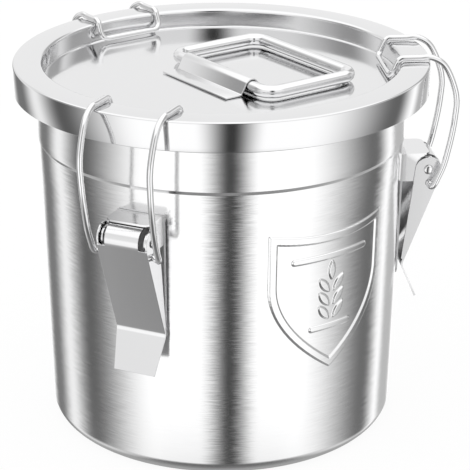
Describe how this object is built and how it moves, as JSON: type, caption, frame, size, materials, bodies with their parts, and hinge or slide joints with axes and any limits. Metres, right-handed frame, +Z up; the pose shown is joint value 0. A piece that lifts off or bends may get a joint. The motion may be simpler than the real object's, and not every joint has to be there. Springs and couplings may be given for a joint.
{
  "type": "rice storage container",
  "caption": "Round steel food barrel with a dished sealing lid, wire toggle latches and a folding lid handle.",
  "frame": {"origin": "middle of the barrel's flat underside", "axes": "+Z up along the barrel's axis; -Y is the side that the picture was taken from"},
  "size_m": [0.2792, 0.2775, 0.2409],
  "materials": {
    "brushed_steel": "stainless steel, brushed round the body",
    "polished_steel": "stainless steel, polished",
    "bright_wire": "bright stainless wire and rod",
    "silicone": "translucent white silicone"
  },
  "bodies": {
    "barrel_body": {"barrel": "brushed_steel", "latch_a_bracket": "polished_steel", "latch_a_rivet_left": "bright_wire", "latch_a_rivet_right": "bright_wire", "latch_b_bracket": "polished_steel", "latch_b_rivet_left": "bright_wire", "latch_b_rivet_right": "bright_wire", "latch_c_bracket": "polished_steel", "latch_c_rivet_left": "bright_wire", "latch_c_rivet_right": "bright_wire"},
    "lid_body": {"lid": "polished_steel", "lid_seal": "silicone", "handle_bracket": "polished_steel"},
    "handle_body": {"handle_bail": "bright_wire"},
    "lever_a_body": {"latch_a_lever": "polished_steel"},
    "wire_a_body": {"latch_a_wire": "bright_wire"},
    "lever_b_body": {"latch_b_lever": "polished_steel"},
    "wire_b_body": {"latch_b_wire": "bright_wire"},
    "lever_c_body": {"latch_c_lever": "polished_steel"},
    "wire_c_body": {"latch_c_wire": "bright_wire"}
  },
  "joints": [
    {"name": "lid_lift", "type": "slide", "parent": "barrel_body", "child": "lid_body", "axis": [0, 0, 1], "range_m": [0, 0.25]},
    {"name": "handle_fold", "type": "hinge", "parent": "lid_body", "child": "handle_body", "pos_m": [-0.00126, -0.01148, 0.22885], "axis": [0.5821, -0.8131, 0], "range_deg": [0, 175]},
    {"name": "lever_a", "type": "hinge", "parent": "barrel_body", "child": "lever_a_body", "pos_m": [-0.05428, -0.11966, 0.1624], "axis": [-0.9107, 0.4131, 0], "range_deg": [0, 120]},
    {"name": "wire_a", "type": "hinge", "parent": "lever_a_body", "child": "wire_a_body", "pos_m": [-0.05436, -0.11985, 0.1536], "axis": [-0.9107, 0.4131, 0], "range_deg": [-170, 0], "deforming": ["latch_a_wire"]},
    {"name": "lever_b", "type": "hinge", "parent": "barrel_body", "child": "lever_b_body", "pos_m": [0.13077, 0.01282, 0.1624], "axis": [0.0976, -0.9952, 0], "range_deg": [0, 120]},
    {"name": "wire_b", "type": "hinge", "parent": "lever_b_body", "child": "wire_b_body", "pos_m": [0.13097, 0.01284, 0.1536], "axis": [0.0976, -0.9952, 0], "range_deg": [-170, 0], "deforming": ["latch_b_wire"]},
    {"name": "lever_c", "type": "hinge", "parent": "barrel_body", "child": "lever_c_body", "pos_m": [-0.07649, 0.10684, 0.1624], "axis": [0.8131, 0.5821, 0], "range_deg": [0, 120]},
    {"name": "wire_c", "type": "hinge", "parent": "lever_c_body", "child": "wire_c_body", "pos_m": [-0.07661, 0.107, 0.1536], "axis": [0.8131, 0.5821, 0], "range_deg": [-170, 0], "deforming": ["latch_c_wire"]}
  ],
  "couplings": [
    {"joint": "wire_a", "follows": "lever_a", "ratio": -1.4166},
    {"joint": "wire_b", "follows": "lever_b", "ratio": -1.4166},
    {"joint": "wire_c", "follows": "lever_c", "ratio": -1.4166}
  ]
}
